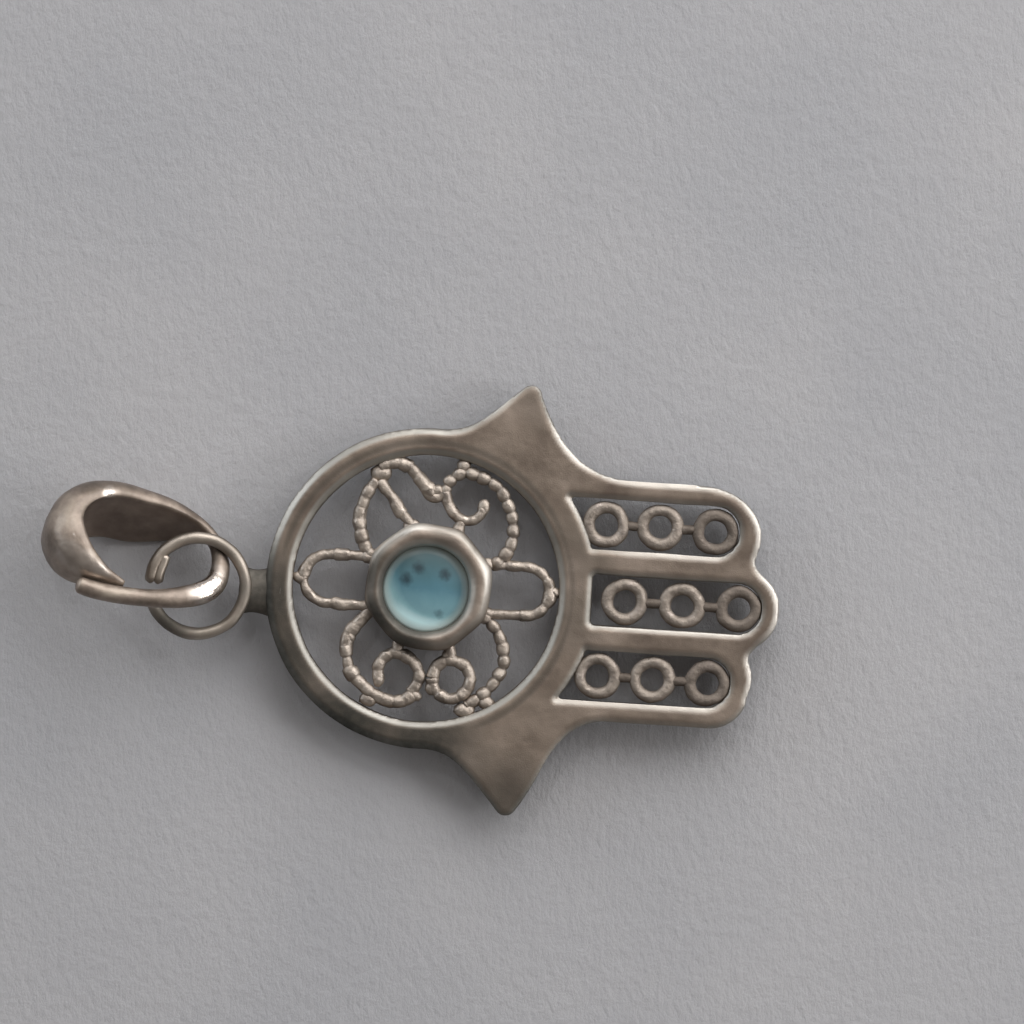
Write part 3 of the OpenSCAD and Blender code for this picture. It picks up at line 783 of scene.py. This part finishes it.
def makePetals(s):
    bm = bmesh.new()
    for side, x in ((-1, s["leftX"]), (1, s["rightX"])):
        y, half = s["y"], s["halfWidth"]
        root = side * s["root"]
        loop = [vec(root, y + half), vec((root + x) / 2, y + half * s["belly"])]
        loop += arcPoints((x, y), half, 90, 90 - 180 * side, 12)
        loop += [vec((root + x) / 2, y - half * s["belly"]), vec(root, y - half)]
        line = [vec(p.x, p.y, levels["wire"]) for p in loop]
        wire(bm, line, s["wire"], filigree["faint"], sides=filigree["sides"])
        blob(bm, (x + side * (half + s["jointOut"]), y, levels["wire"]), s["joint"], side + 5)
    bm.normal_update()
    roughen(bm.verts, s["uneven"])
    finishPiece(bm, "petalWires", filigreeSilver)


makePetals(petalShape)

# Loop ring: one wire bent round, its ends lying side by side, and the neck that it is soldered to
loopShape = {
    "x": -10.37, "y": -0.56, "radius": 2.18, "wire": 0.28, "first": -172, "last": 181, "sides": 18,
    "inner": 1.83, "tailFirst": 138, "tailLast": 182, "tailStep": 4, "tailWire": 0.86, "tailLead": 0.2,
    "neckFrom": -6.6, "neckTo": -8.55, "neckY": -0.62, "neckZ": 1.4, "neckWire": 0.85, "neckFlat": 0.45,
    # the neck is darkened with tarnish and painted shade, low between the rings
    "neckFlare": (0.6, 0.3), "neckRound": 0.35, "neckTarnishAndShade": 0.8, "neckSides": 28, "neckStep": 0.08,
    # painted shade where the ring lies low and by the neck: x, y, reach and how dark
    "paintedShade": [(-11.6, -2.35, 1.5, 0.75), (-9.0, 1.3, 0.9, 0.3), (-8.3, -0.6, 0.9, 0.5)],
    "uneven": (0.8, 0.04, 4),
}


def makeLoopRing(s):
    bm = bmesh.new()
    high = levels["loopRing"]
    line = arcPoints((s["x"], s["y"]), s["radius"], s["first"], s["last"], 4)
    wire(bm, [vec(p.x, p.y, high) for p in line], s["wire"], sides=s["sides"], taper=(0.1, 0.3))
    tail = []
    # the other end leaves the ring and runs along inside it
    for i, at in enumerate(range(s["tailFirst"], s["tailLast"] + 1, s["tailStep"])):
        turn = math.radians(at)
        inner = s["inner"] + s["tailLead"] * max(0, 1 - i / 5) ** 2
        tail.append(vec(s["x"] + inner * math.cos(turn), s["y"] + inner * math.sin(turn), high))
    wire(bm, tail, s["wire"] * s["tailWire"], sides=s["sides"], taper=(0.12, 0.2))
    neck = [vec(x, s["neckY"], s["neckZ"]) for x in (s["neckFrom"], s["neckTo"])]
    wire(bm, neck, s["neckWire"], sides=s["neckSides"], flat=s["neckFlat"], taper=(0, s["neckRound"]),
         dark=s["neckTarnishAndShade"], step=s["neckStep"], flare=s["neckFlare"])
    patina = bm.verts.layers.float["patina"]
    # painted shade on the ring
    for vert in bm.verts:
        for x, y, reach, dark in s["paintedShade"]:
            vert[patina] = max(vert[patina], dark * nearness(vert.co, x, y, reach))
    bm.normal_update()
    roughen(bm.verts, s["uneven"])
    finishPiece(bm, "loopRing", loopSilver)


makeLoopRing(loopShape)

# Bail: a domed band that tapers to a wire, bent round through the loop ring and lapped on its own side
bailShape = {
    "tip": (-9.6, -0.4, 2.41), "lean": -35.8, "rise": 13.3, "sides": 28, "steps": 4,
    "belly": 0.55,  # share of the crown that its inside follows
    "innerTarnish": 0.5, "innerFrom": -0.45, "wideFrom": 0.5,  # how dark its inside is, and where that is
    # from the pointed end round the wide bend to the thin end:
    # along, across, half width, crown, wall and squareness
    "band": [(4.16, -1.06, 0.12, 0.0, 0.16, 1), (4.24, -1.04, 0.26, 0.02, 0.3, 0.9),
             (5.0, -0.86, 0.62, 0.15, 0.46, 0.75), (5.83, -0.48, 1.15, 0.46, 0.62, 0.6),
             (6.42, 0.08, 1.5, 0.72, 0.8, 0.55), (6.76, 0.95, 1.66, 0.86, 0.9, 0.55),
             (6.55, 1.82, 1.7, 0.84, 0.94, 0.55), (5.92, 2.44, 1.74, 0.76, 0.96, 0.55),
             (5.0, 2.74, 1.76, 0.62, 0.96, 0.55), (3.9, 2.74, 1.74, 0.49, 0.94, 0.55),
             (2.75, 2.84, 1.5, 0.38, 0.82, 0.6), (1.75, 2.86, 1.1, 0.26, 0.7, 0.68),
             (0.85, 2.76, 0.62, 0.1, 0.6, 0.85), (0.15, 2.22, 0.38, 0, 0.62, 1),
             (-0.2, 1.15, 0.4, 0, 0.82, 1), (-0.06, 0.06, 0.46, 0, 1.0, 0.95),
             (0.5, -0.62, 0.46, 0, 1.06, 0.88), (1.4, -1.1, 0.42, 0, 1.0, 0.92),
             (2.4, -1.42, 0.38, 0, 0.88, 1), (3.2, -1.57, 0.385, 0, 0.8, 1), (3.7, -1.63, 0.4, 0, 0.8, 1),
             (4.6, -1.7, 0.4, 0, 0.8, 1), (5.5, -1.68, 0.4, 0, 0.8, 1), (6.05, -1.6, 0.39, 0, 0.78, 1),
             (6.2, -1.57, 0.35, 0, 0.7, 1), (6.3, -1.555, 0.24, 0, 0.48, 1), (6.34, -1.55, 0.1, 0, 0.2, 1)],
    # painted highlights where chain and ring have polished the metal smoother: x, y, reach and share
    "polished": [(-9.8, -0.5, 1.1, 1.0), (-14.6, 3.38, 0.36, 1.0), (-16.2, 0.6, 0.7, 0.6),
                 (-15.5, 0.2, 0.7, 0.6), (-14.8, -0.15, 0.6, 0.6)],
}


def makeBail(s):
    bm = bmesh.new()
    lean = Euler((math.radians(s["lean"]), 0, 0)).to_matrix()
    turn = lean @ Euler((0, math.radians(s["rise"]), 0)).to_matrix()
    rows = smoothRows(s["band"], s["steps"])
    stations = []
    for i, (along, across, half, crown, wall, square) in enumerate(rows):
        a, b = rows[max(i - 1, 0)], rows[min(i + 1, len(rows) - 1)]
        run = math.hypot(b[0] - a[0], b[1] - a[1])
        out = Vector((-(b[1] - a[1]) / run, -(b[0] - a[0]) / run, 0))
        middle = Vector((-along, across, 0))

        def section(angle, half=half, crown=crown, wall=wall, square=square):
            high, wide = math.sin(angle), math.cos(angle)
            push = math.copysign(abs(high) ** square, high)
            spread = math.copysign(abs(wide) ** square, wide)
            return half * spread, push * wall / 2 + crown * high * high * (1 if push > 0 else s["belly"])

        def inside(angle, half=half):  # only the wide part has a tarnished inside
            return s["innerTarnish"] if math.sin(angle) < s["innerFrom"] and half > s["wideFrom"] else 0.0

        stations.append((middle, Vector((0, 0, 1)), out, section, inside))
    sweep(bm, stations, s["sides"])
    bmesh.ops.transform(bm, matrix=Matrix.Translation(s["tip"]) @ turn.to_4x4(), verts=bm.verts)
    patina = bm.verts.layers.float["patina"]
    for vert in bm.verts:
        vert.co.z = max(vert.co.z, 0)  # its lower rim has a little flat where it lies
        # painted highlights, where the metal is also polished smoother
        if vert[patina] <= 0:
            vert[patina] = -max(share * nearness(vert.co, x, y, reach)
                                for x, y, reach, share in s["polished"])
    finishPiece(bm, "taperedBail", bailSilver, replaces="bail")


makeBail(bailShape)

# Paper, light and camera
studio = {
    "paper": "#a8a7a9", "paperShade": "#a0a0a3", "paperSize": 3.0,
    "fibre": 0.42, "fibreWay": (1, 0.55, 1), "toothDepth": 0.11, "clouds": 14,  # the grain, in millimetres
    "paperRough": 0.9,
    "sky": "#d8d3cf", "brightWay": (0.38, 0.82, 0.42), "dim": 0.13, "bright": 0.66,
    "windowPlace": (0.118, 0.238, 0.173), "windowSize": (0.46, 0.26), "windowPower": 1.22,
    "cardPlace": (-0.31, 0.17, 0.13), "cardSize": (0.34, 0.18), "cardPower": 0.5, "cardColor": "#e3ebf2",
    "sidePlace": (0.24, 0.0, 0.14), "sideSize": (0.1, 0.07), "sidePower": 0.17,
    "lampPlace": (-0.09, 0.24, 0.42), "lampSize": (0.01, 0.01), "lampPower": 0.1,
}
# the photograph's frame: its middle in the hand's own axes, its width and the turn of the camera
view = {"middle": (3.67, 3.73), "width": 46.545, "turn": 3.8, "height": 400, "sensor": 36}


def makePaper(s):
    material, tree, shader, coords = startMaterial("uncoatedPaper")  # fibres give it a fine soft tooth
    place = coords.outputs["Object"]
    along = addNode(tree, "VectorMath", {"operation": "MULTIPLY", 1: s["fibreWay"]}, {0: place})
    fibres = addNode(tree, "TexNoise", {"Scale": 1 / (s["fibre"] * mm), "Detail": 6, "Roughness": 0.68},
                     {"Vector": along.outputs[0]})
    clouds = addNode(tree, "TexNoise", {"Scale": 1 / (s["clouds"] * mm), "Detail": 3}, {"Vector": place})
    tint = addNode(tree, "ValToRGB", {"stops": [(0.35, s["paperShade"]), (0.65, s["paper"])]},
                   {"Fac": clouds.outputs["Fac"]})
    bump = addNode(tree, "Bump", {"Strength": 1.0, "Distance": s["toothDepth"] * mm},
                   {"Height": fibres.outputs["Fac"]})
    tree.links.new(tint.outputs["Color"], shader.inputs["Base Color"])
    tree.links.new(bump.outputs["Normal"], shader.inputs["Normal"])
    shader.inputs["Roughness"].default_value = s["paperRough"]
    bm = bmesh.new()
    bmesh.ops.create_grid(bm, x_segments=1, y_segments=1, size=s["paperSize"] / 2)
    mesh = bpy.data.meshes.new("paper")
    bm.to_mesh(mesh)
    bm.free()
    mesh.materials.append(material)
    addObject("paper", mesh)


def addLamp(name, place, size, power, color="#ffffff"):
    lamp = bpy.data.lights.new(name, "AREA")
    lamp.shape = "RECTANGLE"
    lamp.size, lamp.size_y = size
    lamp.energy = power
    lamp.color = linear(color)[:3]
    holder = addObject(name, lamp)
    holder.location = place
    holder.rotation_euler = (-Vector(place)).to_track_quat("-Z", "Y").to_euler()


def makeStudio(s, v):
    world = bpy.data.worlds.new("studio")
    world.use_nodes = True
    tree = world.node_tree  # a room that is brighter towards its window
    ways = addNode(tree, "TexCoord").outputs["Generated"]
    facing = addNode(tree, "VectorMath", {"operation": "DOT_PRODUCT", 1: s["brightWay"]}, {0: ways})
    strength = addNode(tree, "MapRange",
                       {"From Min": -1, "From Max": 1, "To Min": s["dim"], "To Max": s["bright"]},
                       {"Value": facing.outputs["Value"]})
    background = tree.nodes["Background"]
    background.inputs["Color"].default_value = linear(s["sky"])
    tree.links.new(strength.outputs["Result"], background.inputs["Strength"])
    bpy.context.scene.world = world
    addLamp("window", s["windowPlace"], s["windowSize"], s["windowPower"])
    addLamp("card", s["cardPlace"], s["cardSize"], s["cardPower"], s["cardColor"])
    addLamp("side", s["sidePlace"], s["sideSize"], s["sidePower"])
    addLamp("smallLamp", s["lampPlace"], s["lampSize"], s["lampPower"])
    camera = bpy.data.cameras.new("camera")
    camera.sensor_width = v["sensor"]
    camera.lens = v["sensor"] * v["height"] / v["width"]
    camera.clip_start = 0.01
    holder = addObject("camera", camera)
    holder.location = vec(*v["middle"], v["height"] + levels["deck"]) * mm
    holder.rotation_euler = (0, 0, math.radians(v["turn"]))
    bpy.context.scene.camera = holder
    bpy.context.scene.view_settings.view_transform = "Standard"


makePaper(studio)
makeStudio(studio, view)
print("studio ready")
